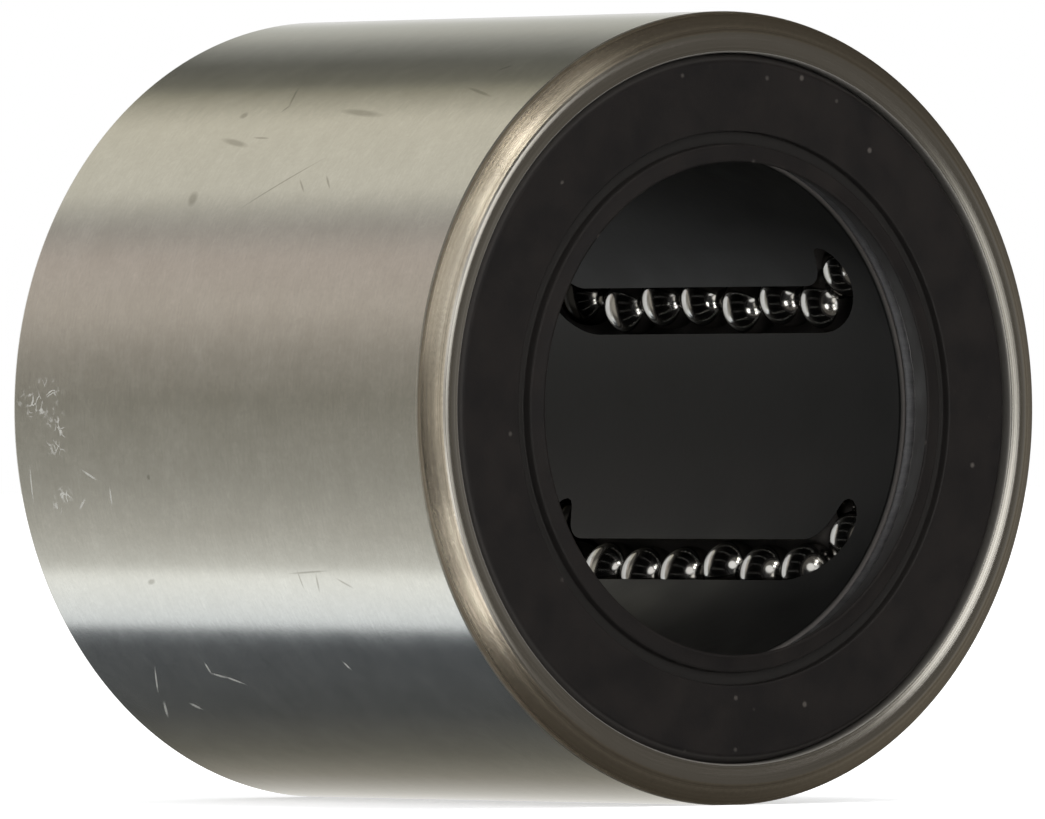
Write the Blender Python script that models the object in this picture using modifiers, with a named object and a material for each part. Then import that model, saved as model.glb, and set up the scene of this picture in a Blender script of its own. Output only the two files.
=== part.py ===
"""Linear ball bearing for a round shaft.

A ground steel cylinder holds a moulded retainer. Closed circuits of steel balls run in the
retainer: each circuit carries load along the shaft, turns round at one end, comes back along a
return channel further out, and turns again. A side ring and a rubber seal close each end.

Units are metres. The bearing's axis lies along Y with the front end at -Y, and its middle is at
the origin. Pieces are laid out in the bearing's own frame, where X points right, Y points up and
Z points out of the front end, and an empty turns that frame into place.
"""

import math

import bmesh
import bpy
from mathutils import Matrix, Vector

# The shaft and the balls; every other radius is built up outwards from these
SHAFT_RADIUS = 0.0125
BALL_RADIUS = 0.0015875

# Ball circuits
BALL_GAP = 0.000025
CIRCUITS = 6
LOAD_BALLS = 6
FIRST_CIRCUIT_DEG = 23.0
TURN_RADIUS = 0.0026
RETURN_LIFT = 0.0011
# Balls that share one solid sink into each other by this much.
JOINED_OVERLAP = 0.000075
# How far towards the front each ball train has come to rest, circuit by circuit.
REST_TRAVEL = (0.0009, -0.0005, 0.0003, -0.0008, 0.0002, 0.0013)

# Retainer
RETAINER_SHAFT_GAP = 0.00042
RETAINER_CLEARANCE = 0.0003
CHANNEL_CLEARANCE = 0.00021
RETAINER_END_WALL = 0.001179

# Outer cylinder
RACEWAY_CLEARANCE = 0.00005
RACEWAY_SETBACK = 0.0004
RACEWAY_RAMP = 0.0008
RECESS_CLEARANCE = 0.00015
GROOVE_CLEARANCE = 0.0002
SHOULDER_WIDTH = 0.000975
SEAT_BEVEL = 0.0001
FACE_WIDTH = 0.00083
CHAMFER_DEPTH = 0.00127
CHAMFER_LENGTH = 0.00082

# End stack, from the retainer outwards
RETAINER_END_GAP = 0.0001
SIDE_RING_THICKNESS = 0.00085
SIDE_RING_SHAFT_GAP = 0.0006
STACK_GAP = 0.00005
SEAL_THICKNESS = 0.0016
SEAL_RECESS = 0.0002
RIM_CLEARANCE = 0.00005

# Seal lip
LIP_GRIP = 0.0001
LIP_RING_WIDTH = 0.0009
LIP_TIP_SETBACK = 0.00002
LIP_SLOPE = 0.0001
LIP_INNER_LENGTH = 0.0015
LIP_INNER_TAPER = 0.0004
SEAL_BACK_SHAFT_GAP = 0.0008
SEAL_GROOVE_WIDTH = 0.00065
SEAL_GROOVE_DEPTH = 0.0005
SEAL_EDGE_DEPTH = 0.00047
SEAL_EDGE_LENGTH = 0.0007

# Fineness of the facets
SHELL_SEGMENTS = 60
RING_SEGMENTS = 48
BALL_SEGMENTS = 10
BALL_RINGS = 6
JOINED_BALL_SEGMENTS = 8
JOINED_BALL_RINGS = 5
GROOVE_SEGMENTS = 14
TURN_SEGMENTS = 8
CHANNEL_BEVEL_RESOLUTION = 3
CHANNEL_SIDES = 4 + 2 * CHANNEL_BEVEL_RESOLUTION
# Steps in which the ball train's travel is looked at for its tightest place
TRAVEL_STEPS = 40

# Radii that follow from the sizes
load_radius = SHAFT_RADIUS + BALL_RADIUS
return_radius = load_radius + RETURN_LIFT
raceway_radius = load_radius + BALL_RADIUS + RACEWAY_CLEARANCE
retainer_radius = raceway_radius - RETAINER_CLEARANCE
retainer_bore_radius = SHAFT_RADIUS + RETAINER_SHAFT_GAP
recess_radius = return_radius + BALL_RADIUS + RECESS_CLEARANCE
seat_radius = recess_radius + SHOULDER_WIDTH
rim_radius = seat_radius - RIM_CLEARANCE
face_radius = seat_radius + FACE_WIDTH
outer_radius = face_radius + CHAMFER_DEPTH
side_ring_bore_radius = SHAFT_RADIUS + SIDE_RING_SHAFT_GAP
lip_radius = SHAFT_RADIUS - LIP_GRIP
lip_ring_radius = lip_radius + LIP_RING_WIDTH
seal_back_radius = SHAFT_RADIUS + SEAL_BACK_SHAFT_GAP

# The ball trains
ball_pitch = 2 * BALL_RADIUS + BALL_GAP
joined_pitch = 2 * BALL_RADIUS - JOINED_OVERLAP
# Half a ball pitch each way brings the train back to the same picture.
half_travel = ball_pitch / 2
# The two balls in a turn stand this far to each side of its crown, seen from the turn's centre.
turn_ball_angle = math.asin(joined_pitch / 2 / TURN_RADIUS)


def half_straight_length():
    """Half the straight run, long enough for the end ball to clear the turning ball at any travel."""
    end_ball = (LOAD_BALLS - 1) / 2 * ball_pitch
    needed = []
    for step in range(TRAVEL_STEPS + 1):
        travel = half_travel * (2 * step / TRAVEL_STEPS - 1)
        past_tangent = math.pi / 2 - turn_ball_angle + travel / TURN_RADIUS
        sideways = TURN_RADIUS * (1 - math.cos(past_tangent))
        ahead = math.sqrt(max(ball_pitch**2 - sideways**2, 0.0))
        needed.append(end_ball + travel + ahead - TURN_RADIUS * math.sin(past_tangent))
    return max(needed)


half_straight = half_straight_length()

# Heights along the axis that follow, from the middle to the end face
half_raceway = half_straight - RACEWAY_SETBACK
channel_end = half_straight + TURN_RADIUS + BALL_RADIUS + CHANNEL_CLEARANCE
retainer_half_length = channel_end + RETAINER_END_WALL
side_ring_back = retainer_half_length + RETAINER_END_GAP
side_ring_front = side_ring_back + SIDE_RING_THICKNESS
shoulder = side_ring_back - STACK_GAP
seal_back = side_ring_front + STACK_GAP
seal_face = seal_back + SEAL_THICKNESS
half_length = seal_face + SEAL_RECESS

# Angle between a circuit's load row and its return row, seen from the bearing's axis
row_angle = math.acos(
    (load_radius**2 + return_radius**2 - (2 * TURN_RADIUS) ** 2) / (2 * load_radius * return_radius)
)
load_point = Vector((load_radius, 0.0, 0.0))
return_point = Vector((math.cos(row_angle), math.sin(row_angle), 0.0)) * return_radius
circuit_middle = (load_point + return_point) / 2
circuit_tilt = math.atan2(return_point.y - load_point.y, return_point.x - load_point.x)


def clear_scene():
    for old in list(bpy.data.objects):
        bpy.data.objects.remove(old, do_unlink=True)


def new_collection(name):
    collection = bpy.data.collections.new(name)
    bpy.context.scene.collection.children.link(collection)
    return collection


def new_material(name, colour, roughness, metallic):
    material = bpy.data.materials.new(name)
    material.use_nodes = True
    shader = material.node_tree.nodes["Principled BSDF"]
    shader.inputs["Base Color"].default_value = (*colour, 1.0)
    shader.inputs["Roughness"].default_value = roughness
    shader.inputs["Metallic"].default_value = metallic
    material.diffuse_color = (*colour, 1.0)
    return material


def new_empty(name, parent=None, location=(0.0, 0.0, 0.0), rotation=(0.0, 0.0, 0.0)):
    empty = bpy.data.objects.new(name, None)
    empty.empty_display_size = BALL_RADIUS
    empty.parent = parent
    empty.location = location
    empty.rotation_euler = rotation
    parts.objects.link(empty)
    return empty


def new_piece(name, mesh, material, parent, location=(0.0, 0.0, 0.0), rotation=(0.0, 0.0, 0.0)):
    piece = bpy.data.objects.new(name, mesh)
    piece.parent = parent
    piece.location = location
    piece.rotation_euler = rotation
    if not mesh.materials:
        mesh.materials.append(material)
    parts.objects.link(piece)
    return piece


def new_cutter(name, mesh, parent):
    cutter = bpy.data.objects.new(name, mesh)
    cutter.parent = parent
    cutter.hide_render = True
    cutter.display_type = "WIRE"
    cutters.objects.link(cutter)
    return cutter


def evaluated_mesh(item, name):
    """The mesh that an object and its modifiers make, as plain data in the object's own frame."""
    bpy.context.view_layer.update()
    graph = bpy.context.evaluated_depsgraph_get()
    mesh = bpy.data.meshes.new_from_object(item.evaluated_get(graph))
    mesh.name = name
    return mesh


def profile_mesh(name, points):
    """A closed outline of (radius, height) points in the XZ plane, ready to be turned."""
    mesh = bpy.data.meshes.new(name)
    outline = bmesh.new()
    corners = [outline.verts.new((radius, 0.0, height)) for radius, height in points]
    for start, end in zip(corners, corners[1:] + corners[:1]):
        outline.edges.new((start, end))
    outline.to_mesh(mesh)
    outline.free()
    return mesh


def add_turning(piece, segments):
    turning = piece.modifiers.new("turning", "SCREW")
    turning.axis = "Z"
    turning.angle = math.tau
    turning.steps = segments
    turning.render_steps = segments
    turning.use_merge_vertices = True
    turning.merge_threshold = 0.000001
    turning.use_smooth_shade = True


def add_cut(piece, cutter):
    cut = piece.modifiers.new("cut by " + cutter.name, "BOOLEAN")
    cut.operation = "DIFFERENCE"
    cut.solver = "EXACT"
    cut.object = cutter


def both_ends(upper):
    """A closed outline, outer side running down, from its front half listed from outside to inside."""
    lower = [(radius, -height) for radius, height in upper]
    return upper[::-1] + lower


def outer_cylinder_outline():
    return both_ends(
        [
            (outer_radius, half_length - CHAMFER_LENGTH),
            (face_radius, half_length),
            (seat_radius + SEAT_BEVEL, half_length),
            (seat_radius, half_length - SEAT_BEVEL),
            (seat_radius, shoulder),
            (recess_radius, shoulder),
            (recess_radius, half_raceway + RACEWAY_RAMP),
            (raceway_radius, half_raceway),
        ]
    )


def retainer_outline():
    return both_ends(
        [
            (retainer_radius, retainer_half_length),
            (retainer_bore_radius, retainer_half_length),
        ]
    )


def side_ring_outline():
    return [
        (side_ring_bore_radius, side_ring_front),
        (rim_radius, side_ring_front),
        (rim_radius, side_ring_back),
        (side_ring_bore_radius, side_ring_back),
    ]


def seal_outline():
    """Flat face with a bevelled rim, a groove round the lip ring, and the lip that wipes the shaft."""
    groove_floor = seal_face - SEAL_GROOVE_DEPTH
    lip_crest = half_length - LIP_TIP_SETBACK
    return [
        (lip_radius, lip_crest),
        (lip_ring_radius, lip_crest - LIP_SLOPE),
        (lip_ring_radius, groove_floor),
        (lip_ring_radius + SEAL_GROOVE_WIDTH, groove_floor),
        (lip_ring_radius + SEAL_GROOVE_WIDTH, seal_face),
        (rim_radius - SEAL_EDGE_DEPTH, seal_face),
        (rim_radius, seal_face - SEAL_EDGE_LENGTH),
        (rim_radius, seal_back),
        (seal_back_radius, seal_back),
        (lip_radius + LIP_INNER_TAPER, lip_crest - LIP_INNER_LENGTH),
    ]


def add_groove_cutter(frame):
    """Six round bars that cut the return rows' grooves along the cylinder's bore."""
    mesh = bpy.data.meshes.new("return_groove_cutter")
    bars = bmesh.new()
    for circuit in range(CIRCUITS):
        angle = circuit_angle(circuit) + row_angle
        place = Matrix.Rotation(angle, 4, "Z") @ Matrix.Translation((return_radius, 0.0, 0.0))
        bmesh.ops.create_cone(
            bars,
            cap_ends=True,
            segments=GROOVE_SEGMENTS,
            radius1=BALL_RADIUS + GROOVE_CLEARANCE,
            radius2=BALL_RADIUS + GROOVE_CLEARANCE,
            depth=2 * (half_raceway + 2 * RACEWAY_RAMP),
            matrix=place,
        )
    bars.to_mesh(mesh)
    bars.free()
    return new_cutter("return_groove_cutter", mesh, frame)


def circuit_angle(circuit):
    return math.radians(FIRST_CIRCUIT_DEG) + circuit * math.tau / CIRCUITS


def circuit_matrix(circuit):
    """From the circuit's own frame, load row at -X and return row at +X, to the bearing's frame."""
    angle = circuit_angle(circuit)
    place = Matrix.Rotation(angle, 4, "Z") @ Matrix.Translation(circuit_middle)
    return place @ Matrix.Rotation(circuit_tilt, 4, "Z")


def circuit_points():
    """The closed path of the ball centres: an arc at each end, joined by the two straight runs."""
    points = []
    for end in (1, -1):
        for step in range(TURN_SEGMENTS + 1):
            angle = math.pi * step / TURN_SEGMENTS
            x = -end * TURN_RADIUS * math.cos(angle)
            z = end * (half_straight + TURN_RADIUS * math.sin(angle))
            points.append(Vector((x, 0.0, z)))
    return points


def add_channel_cutter(frame):
    """One closed tube along each ball circuit, wide enough for the balls to run in."""
    curve = bpy.data.curves.new("ball_channel_path", "CURVE")
    curve.dimensions = "3D"
    # The flats of the tube, not its corners, keep the clearance round the balls.
    curve.bevel_depth = (BALL_RADIUS + CHANNEL_CLEARANCE) / math.cos(math.pi / CHANNEL_SIDES)
    curve.bevel_resolution = CHANNEL_BEVEL_RESOLUTION
    for circuit in range(CIRCUITS):
        place = circuit_matrix(circuit)
        points = [place @ point for point in circuit_points()]
        spline = curve.splines.new("POLY")
        spline.points.add(len(points) - 1)
        for corner, point in zip(spline.points, points):
            corner.co = (*point, 1.0)
        spline.use_cyclic_u = True
    guide = bpy.data.objects.new("ball_channel_path", curve)
    cutters.objects.link(guide)
    mesh = evaluated_mesh(guide, "ball_channel_cutter")
    bpy.data.objects.remove(guide)
    tubes = bmesh.new()
    tubes.from_mesh(mesh)
    bmesh.ops.remove_doubles(tubes, verts=tubes.verts, dist=0.000001)
    bmesh.ops.recalc_face_normals(tubes, faces=tubes.faces)
    tubes.to_mesh(mesh)
    tubes.free()
    return new_cutter("ball_channel_cutter", mesh, frame)


def add_shell(frame):
    """The pieces that stay still: cylinder, retainer, side rings and seals."""
    half_facet = math.pi / SHELL_SEGMENTS
    outer = new_piece(
        "outer_cylinder",
        profile_mesh("outer_cylinder", outer_cylinder_outline()),
        new_material("ground_steel", (0.56, 0.54, 0.49), 0.28, 1.0),
        frame,
        rotation=(0.0, 0.0, half_facet),
    )
    add_turning(outer, SHELL_SEGMENTS)
    add_cut(outer, add_groove_cutter(frame))

    retainer = new_piece(
        "ball_retainer",
        profile_mesh("ball_retainer", retainer_outline()),
        new_material("moulded_black_plastic", (0.025, 0.025, 0.024), 0.35, 0.0),
        frame,
    )
    add_turning(retainer, SHELL_SEGMENTS)
    add_cut(retainer, add_channel_cutter(frame))

    ring_mesh = profile_mesh("side_ring", side_ring_outline())
    ring_steel = new_material("side_ring_steel", (0.50, 0.50, 0.48), 0.25, 1.0)
    seal_mesh = profile_mesh("end_seal", seal_outline())
    seal_rubber = new_material("black_seal_rubber", (0.030, 0.026, 0.027), 0.55, 0.0)
    for end, turned in (("front", 0.0), ("back", math.pi)):
        for name, mesh, material in (
            ("side_ring_" + end, ring_mesh, ring_steel),
            ("end_seal_" + end, seal_mesh, seal_rubber),
        ):
            piece = new_piece(name, mesh, material, frame, rotation=(turned, 0.0, 0.0))
            add_turning(piece, RING_SEGMENTS)


def ball_mesh():
    mesh = bpy.data.meshes.new("ball")
    ball = bmesh.new()
    bmesh.ops.create_uvsphere(
        ball, u_segments=BALL_SEGMENTS, v_segments=BALL_RINGS, radius=BALL_RADIUS
    )
    ball.to_mesh(mesh)
    ball.free()
    mesh.shade_smooth()
    return mesh


def joined_balls_mesh(name, count, place):
    """A string of balls along Z, every second one joined to its neighbours, moved by a matrix."""
    halves = []
    for first in (0, 1):
        mesh = bpy.data.meshes.new(name)
        string = bmesh.new()
        for number in range(first, count, 2):
            height = (number - (count - 1) / 2) * joined_pitch
            bmesh.ops.create_uvsphere(
                string,
                u_segments=JOINED_BALL_SEGMENTS,
                v_segments=JOINED_BALL_RINGS,
                radius=BALL_RADIUS,
                matrix=Matrix.Translation((0.0, 0.0, height)),
            )
        string.to_mesh(mesh)
        string.free()
        half = bpy.data.objects.new(name, mesh)
        cutters.objects.link(half)
        halves.append(half)
    odd_balls, even_balls = halves
    join = odd_balls.modifiers.new("join", "BOOLEAN")
    join.operation = "UNION"
    join.solver = "EXACT"
    join.object = even_balls
    mesh = evaluated_mesh(odd_balls, name)
    for half in halves:
        bpy.data.objects.remove(half)
    mesh.transform(place)
    mesh.shade_smooth()
    return mesh


def add_circuits(frame):
    """Each circuit's load balls, its return row and the pair of balls in each turn."""
    ball_steel = new_material("polished_ball_steel", (0.78, 0.78, 0.77), 0.08, 1.0)
    single = ball_mesh()
    return_row = joined_balls_mesh("return_balls", LOAD_BALLS, Matrix.Identity(4))
    crown = TURN_RADIUS * math.cos(turn_ball_angle)
    across = Matrix.Translation((0.0, 0.0, crown)) @ Matrix.Rotation(math.pi / 2, 4, "Y")
    turn_pair = joined_balls_mesh("turn_balls", 2, across)
    for circuit in range(CIRCUITS):
        name = f"circuit_{circuit + 1}"
        travel = REST_TRAVEL[circuit % len(REST_TRAVEL)]
        place = circuit_matrix(circuit)
        own = new_empty(name, frame, place.translation, place.to_euler())
        for number in range(LOAD_BALLS):
            height = ((LOAD_BALLS - 1) / 2 - number) * ball_pitch + travel
            spot = (-TURN_RADIUS, 0.0, height)
            new_piece(f"{name}_load_ball_{number + 1}", single, ball_steel, own, spot)
        new_piece(
            f"{name}_return_balls", return_row, ball_steel, own, (TURN_RADIUS, 0.0, -travel)
        )
        turned = travel / TURN_RADIUS
        for end, side, facing in (("front", 1, 0.0), ("back", -1, math.pi)):
            new_piece(
                f"{name}_{end}_turn_balls",
                turn_pair,
                ball_steel,
                own,
                (0.0, 0.0, side * half_straight),
                (0.0, facing + turned, 0.0),
            )


clear_scene()
parts = new_collection("linear_bearing")
cutters = new_collection("cutters")
bearing_frame = new_empty("bearing_frame", rotation=(math.pi / 2, 0.0, 0.0))
add_shell(bearing_frame)
add_circuits(bearing_frame)
bpy.context.view_layer.update()
for piece in parts.objects:
    if piece.type == "MESH" and not piece.name.startswith("circuit"):
        piece.data.set_sharp_from_angle(angle=math.radians(30))
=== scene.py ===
# %% [markdown]
# # A linear ball bearing, dressed for the camera
#
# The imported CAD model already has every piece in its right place, but its rings are faceted and its
# surfaces are bare. In this lesson each piece is turned again with fine steps and soft edges, gets a
# finish made from nodes, and takes the CAD piece's place. Then a small studio is built round it,
# because polished steel looks like nothing until it has something to reflect.
#
# Everything is in metres, in the CAD model's own frame.

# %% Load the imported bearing
import math

import bmesh
import bpy
from mathutils import Matrix, Vector


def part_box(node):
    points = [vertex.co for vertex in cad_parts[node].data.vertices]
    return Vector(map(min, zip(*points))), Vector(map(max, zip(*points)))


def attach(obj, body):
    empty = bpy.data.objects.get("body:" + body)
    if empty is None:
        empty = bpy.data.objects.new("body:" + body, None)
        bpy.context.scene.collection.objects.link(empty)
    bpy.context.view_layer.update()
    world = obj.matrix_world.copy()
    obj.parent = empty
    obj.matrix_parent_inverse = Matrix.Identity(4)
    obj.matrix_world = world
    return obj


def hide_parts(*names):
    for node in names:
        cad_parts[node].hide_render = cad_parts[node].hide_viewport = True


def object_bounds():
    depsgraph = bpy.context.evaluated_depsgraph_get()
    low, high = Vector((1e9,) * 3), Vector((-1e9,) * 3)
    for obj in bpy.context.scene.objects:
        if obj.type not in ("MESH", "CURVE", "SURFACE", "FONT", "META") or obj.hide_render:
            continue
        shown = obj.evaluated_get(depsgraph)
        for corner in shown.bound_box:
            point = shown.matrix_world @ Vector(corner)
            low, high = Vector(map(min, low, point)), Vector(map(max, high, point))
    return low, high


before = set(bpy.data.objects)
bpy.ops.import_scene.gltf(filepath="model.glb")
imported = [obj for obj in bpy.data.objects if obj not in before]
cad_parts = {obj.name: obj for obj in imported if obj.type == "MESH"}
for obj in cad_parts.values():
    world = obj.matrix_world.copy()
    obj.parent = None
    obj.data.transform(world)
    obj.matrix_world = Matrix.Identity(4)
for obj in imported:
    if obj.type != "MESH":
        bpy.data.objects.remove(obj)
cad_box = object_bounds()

MM = 0.001
print("CAD box in mm:", [[round(value / MM, 2) for value in corner] for corner in cad_box])

# %% [markdown]
# ## A frame to work in
#
# A turned part is easiest to draw with its axis along Z, as on a lathe. The model's axis lies along
# Y, with the front end towards -Y. So every piece is made in the bearing's own frame (X to the right,
# Y up, Z out of the front) and its mesh is turned once, at the end. The object itself stays at the
# origin, so its Object coordinates, which the finishes read, are the same as the CAD model's.

# %% From the bearing's own frame to the model's
to_model = Matrix.Rotation(math.radians(90), 4, "X")
SHARP_DEG = 32  # edges that bend more than this stay crisp


def finish_piece(name, shape, body, nodes, finish, turned_piece=True):
    """Turns a bmesh into a piece that rides on a body and stands for its CAD nodes."""
    shape.transform(to_model)
    mesh = bpy.data.meshes.new(name)
    shape.to_mesh(mesh)
    shape.free()
    mesh.shade_smooth()
    mesh.materials.clear()
    mesh.materials.append(finish)
    piece = bpy.data.objects.new(name, mesh)
    bpy.context.scene.collection.objects.link(piece)
    if turned_piece:
        mesh.set_sharp_from_angle(angle=math.radians(SHARP_DEG))
        shading = piece.modifiers.new("flat_faces_stay_flat", "WEIGHTED_NORMAL")
        shading.weight = 80
        shading.keep_sharp = True
    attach(piece, body)
    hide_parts(*nodes)
    return piece


# %% [markdown]
# ## The sizes
#
# All radii are measured from the shaft outwards and all heights from the middle of the bearing
# towards the front, in millimetres. They repeat the CAD model's sizes, with the small roundings that
# the CAD model leaves out.

# %% Radii and heights
BALL_RADIUS = 1.578  # a hair under 3.175 / 2, so that neighbours in a row never touch
BALL_PITCH = 3.2
LOAD_BALLS = 6
CIRCUITS = 6
FIRST_CIRCUIT_DEG = 23.0
REST_TRAVEL = (0.9, -0.5, 0.3, -0.8, 0.2, 1.3)
LOAD_RADIUS = 14.0875
RETURN_RADIUS = 15.1875
TURN_RADIUS = 2.6
HALF_STRAIGHT = 9.0235

OUTER_RADIUS = 20.0
HALF_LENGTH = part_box("outer_cylinder")[1].y / MM
CHAMFER_LENGTH = 0.82
CHAMFER_BULGE = 0.017
LAND_OUTER, LAND_FALL, LAND_INNER = 18.93, 0.055, 18.82
CROWN_RADIUS, CROWN_FALL = 18.44, 0.11
SEAT_RADIUS = 17.9
RECESS_RADIUS = 16.925
RACEWAY_RADIUS = 15.725
SHOULDER = 14.65
RING_BACK, RING_FRONT = 14.70, 15.55
RING_BORE = 13.1
RIM_RADIUS = 17.85
CAGE_RADIUS, CAGE_BORE, CAGE_HALF_LENGTH = 15.425, 12.92, 14.60
CHANNEL_RADIUS = 1.7975
RETURN_GROOVE_RADIUS, RETURN_GROOVE_LENGTH = 1.7875, 20.447
RECESS_DEPTH_END, RACEWAY_START = 9.4235, 8.6235
RETURN_PITCH = 3.17
TURN_HALF_GAP = 1.582
SEAL_BACK, SEAL_FACE = 15.60, 17.20
SEAL_EDGE_DEPTH, SEAL_EDGE_LENGTH = 0.32, 0.5
GROOVE_WIDTH, GROOVE_DEPTH = 0.65, 0.5
LIP_RADIUS, LIP_RING_RADIUS, LIP_CREST = 12.4, 13.3, 17.38

FINE_STEPS = 240
print("half length in mm:", round(HALF_LENGTH, 3))

# %% [markdown]
# ## Turning a ring
#
# Every still piece of this bearing is a body of revolution. Its half outline is drawn as a few
# vertices joined by edges, and the spin operator turns it about the axis. A full spin with use_merge
# closes the ring on itself. Corners are rounded afterwards with the bevel operator, on the ring edges
# that a corner has become, because a bevel keeps its width all the way round.


# %% Outlines, rings and rounded corners
def turned(outline, steps=FINE_STEPS):
    """Spins a closed outline of (radius, height) corners in millimetres into a solid ring."""
    shape = bmesh.new()
    corners = [shape.verts.new((radius * MM, 0.0, height * MM)) for radius, height in outline]
    edges = [shape.edges.new(pair) for pair in zip(corners, corners[1:] + corners[:1])]
    bmesh.ops.spin(
        shape,
        geom=corners + edges,
        cent=(0.0, 0.0, 0.0),
        axis=(0.0, 0.0, 1.0),
        angle=math.tau,
        steps=steps,
        use_merge=True,
    )
    bmesh.ops.remove_doubles(shape, verts=shape.verts, dist=0.0005 * MM)
    bmesh.ops.recalc_face_normals(shape, faces=shape.faces)
    return shape


def round_corner(shape, radius, height, size, segments=3):
    """Bevels the ring edge that runs at one radius and height."""

    def on_ring(vertex):
        reach = math.hypot(vertex.co.x, vertex.co.y) / MM
        return abs(reach - radius) < 0.003 and abs(vertex.co.z / MM - height) < 0.003

    ring = [edge for edge in shape.edges if all(on_ring(vertex) for vertex in edge.verts)]
    bmesh.ops.bevel(
        shape,
        geom=ring,
        offset=size * MM,
        offset_type="OFFSET",
        affect="EDGES",
        segments=segments,
        profile=0.5,
        material=-1,
    )


def both_ends(front):
    """A closed outline from its front half, listed from the outside to the inside."""
    return front[::-1] + [(radius, -height) for radius, height in front]


# %% [markdown]
# ## Wiring a finish
#
# A finish is a node tree that ends in one Principled shader. A few small helpers keep the wiring
# readable: one adds a node and fills its sockets, one makes grain (noise, stretched where a tool has
# dragged along the surface), one turns a range of values into another, and one mixes two colours. All
# patterns start from Object coordinates, so they stay fixed to the metal when a piece moves.


# %% Helpers for finishes
def feed(tree, socket, value):
    if isinstance(value, bpy.types.NodeSocket):
        tree.links.new(value, socket)
    else:
        socket.default_value = value


def add_node(tree, kind, sockets=None, **settings):
    """Adds a node, sets its settings, then fills or wires the sockets that are named."""
    node = tree.nodes.new("ShaderNode" + kind)
    for name, value in settings.items():
        setattr(node, name, value)
    for key, value in (sockets or {}).items():
        feed(tree, node.inputs[key], value)
    return node


def new_finish(name, colour, metallic, roughness):
    material = bpy.data.materials.new(name)
    material.use_nodes = True
    tree = material.node_tree
    shader = tree.nodes["Principled BSDF"]
    shader.inputs["Base Color"].default_value = (*colour, 1.0)
    shader.inputs["Metallic"].default_value = metallic
    shader.inputs["Roughness"].default_value = roughness
    place = tree.nodes.new("ShaderNodeTexCoord").outputs["Object"]
    return material, tree, shader, place


def stretched(tree, place, scale):
    return add_node(tree, "Mapping", {"Vector": place, "Scale": scale}).outputs[0]


def grain(tree, place, scale, detail=2.0, rough=0.5):
    sockets = {"Vector": place, "Scale": scale, "Detail": detail, "Roughness": rough}
    return add_node(tree, "TexNoise", sockets).outputs[0]


def span(tree, value, low, high, to_low=0.0, to_high=1.0, smooth=False):
    """Turns the range low..high of a value into to_low..to_high, held at both ends."""
    kind = "SMOOTHSTEP" if smooth else "LINEAR"
    sockets = {0: value, 1: low, 2: high, 3: to_low, 4: to_high}
    return add_node(tree, "MapRange", sockets, interpolation_type=kind).outputs[0]


def sums(tree, operation, first, second=0.0):
    return add_node(tree, "Math", {0: first, 1: second}, operation=operation).outputs[0]


def tint(tree, amount, first, second):
    """Mixes two colours; each is a colour of three numbers or a socket."""
    first, second = (
        (*colour, 1.0) if isinstance(colour, tuple) else colour for colour in (first, second)
    )
    sockets = {0: amount, 6: first, 7: second}
    return add_node(tree, "Mix", sockets, data_type="RGBA").outputs[2]


def reach_from_axis(tree, place):
    """Distance from the bearing's axis, in millimetres."""
    flat = add_node(tree, "VectorMath", {0: place, 1: (1000.0, 0.0, 1000.0)}, operation="MULTIPLY")
    return add_node(tree, "VectorMath", {0: flat.outputs[0]}, operation="LENGTH").outputs[1]


def raise_surface(tree, shader, height, distance):
    bump = add_node(tree, "Bump", {"Strength": 1.0, "Distance": distance, "Height": height})
    feed(tree, shader.inputs["Normal"], bump.outputs[0])


def seen_directly(tree):
    """1 for rays from the camera, from a glossy surface or through glass, 0 for plain light."""
    ray = tree.nodes.new("ShaderNodeLightPath").outputs
    seen = sums(tree, "MAXIMUM", ray["Is Camera Ray"], ray["Is Glossy Ray"])
    return sums(tree, "MAXIMUM", seen, ray["Is Transmission Ray"])


# %% [markdown]
# ## Ground steel
#
# The cylinder is hardened bearing steel, ground outside. Grinding runs round the cylinder, so its
# lines do too, too fine to see one by one. The chamfers and end faces are only turned: the lathe tool
# leaves rings, and the heat treatment leaves a brown tint. So one finish is mixed by distance from
# the axis: ground at the outside, turned inside it. Towards its outer edge the chamfer is also
# painted darker, a painted shade. Right at the outer corner the chamfer is worn dull, which keeps
# that edge soft.
#
# The outside has been handled. Every mark is an ellipse on the unrolled surface: the coordinate
# "along" holds the way round the cylinder and the height, both in millimetres.

# %% Marks on the outside
# Way round from the camera's side (up is positive), height, half length, half width, tilt in degrees
DARK_MARKS = (
    (15.2, -3.0, 0.56, 0.06, 93),
    (11.3, -5.6, 0.40, 0.30, 145),
    (18.3, -3.3, 0.77, 0.07, 152),
    (17.4, -3.0, 0.26, 0.07, 23),
    (16.9, -6.0, 0.26, 0.20, 109),
    (14.9, -4.9, 1.05, 0.17, 102),
    (12.2, 1.1, 2.20, 0.05, 57),
    (12.0, 2.9, 0.50, 0.05, 131),
    (12.2, 4.9, 0.50, 0.06, 133),
    (16.9, 3.7, 1.54, 0.20, 97),
    (18.4, 11.8, 1.10, 0.09, 107),
    (20.6, 11.6, 0.34, 0.09, 56),
    (-8.4, 5.6, 1.34, 0.05, 87),
    (-9.0, 6.0, 0.44, 0.07, 15),
    (-9.0, 8.2, 0.50, 0.06, 116),
    (-8.8, 4.7, 0.45, 0.05, 0),
    (-3.4, -5.7, 0.12, 0.12, 0),
    (-9.0, -7.7, 0.31, 0.13, 74),
)
PALE_MARKS = (
    (-17.4, -13.2, 0.67, 0.08, 37),
    (-14.3, -6.8, 0.34, 0.07, 7),
    (-14.8, -6.3, 0.48, 0.07, 106),
    (-15.1, -5.3, 0.62, 0.07, 113),
    (-15.2, -11.9, 0.99, 0.05, 37),
    (-17.1, -10.4, 0.33, 0.13, 126),
    (-14.0, 4.9, 0.25, 0.08, 158),
    (-3.3, -10.6, 0.50, 0.06, 114),
    (-4.4, -9.1, 0.39, 0.06, 4),
    (-4.8, -11.6, 0.37, 0.06, 50),
    (-3.8, -15.6, 0.79, 0.05, 5),
)
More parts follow.
